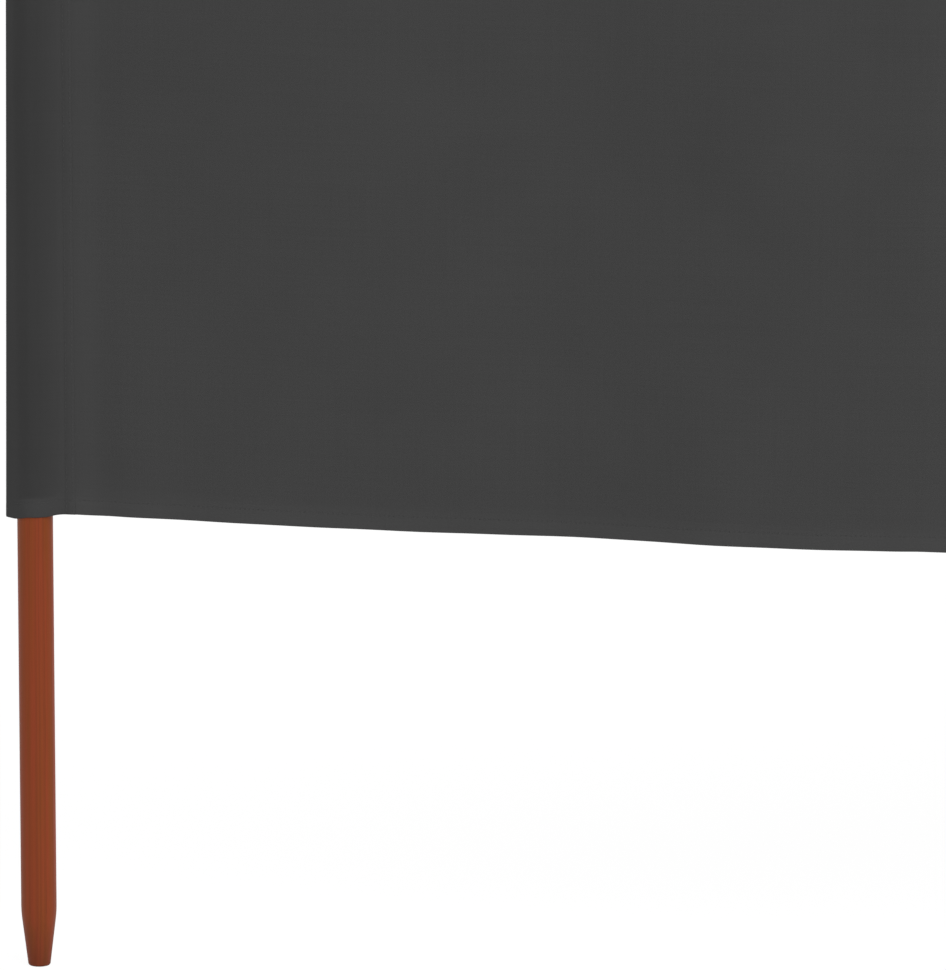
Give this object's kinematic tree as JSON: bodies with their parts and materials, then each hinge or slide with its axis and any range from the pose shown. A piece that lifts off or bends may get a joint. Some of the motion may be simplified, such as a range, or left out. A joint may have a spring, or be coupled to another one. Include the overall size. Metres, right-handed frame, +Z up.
{
  "type": "beach windbreak",
  "caption": "Run of plain fabric bays on stained wooden poles, set up in a zigzag: the poles pass through sewn pockets and their tapered feet go into sand to make a screen against wind.",
  "frame": {"origin": "centre of the blunt end of the middle pole, pole_4", "axes": "+Z up along the poles, +X along the line of the windbreak from pole_1 to pole_7, -Y towards its front"},
  "size_m": [4.7698, 0.2455, 1.2],
  "materials": {
    "pole_wood": "turned wood with a red-brown satin stain",
    "windbreak_fabric": "matt plain-woven anthracite cloth"
  },
  "bodies": {
    "root": {"pole_1": "pole_wood", "pole_2": "pole_wood", "pole_3": "pole_wood", "pole_4": "pole_wood", "pole_5": "pole_wood", "pole_6": "pole_wood", "pole_7": "pole_wood", "pocket_1": "windbreak_fabric", "pocket_2": "windbreak_fabric", "pocket_3": "windbreak_fabric", "pocket_4": "windbreak_fabric", "pocket_5": "windbreak_fabric", "pocket_6": "windbreak_fabric", "pocket_7": "windbreak_fabric", "panel_1": "windbreak_fabric", "panel_2": "windbreak_fabric", "panel_3": "windbreak_fabric", "panel_4": "windbreak_fabric", "panel_5": "windbreak_fabric", "panel_6": "windbreak_fabric"}
  },
  "joints": []
}
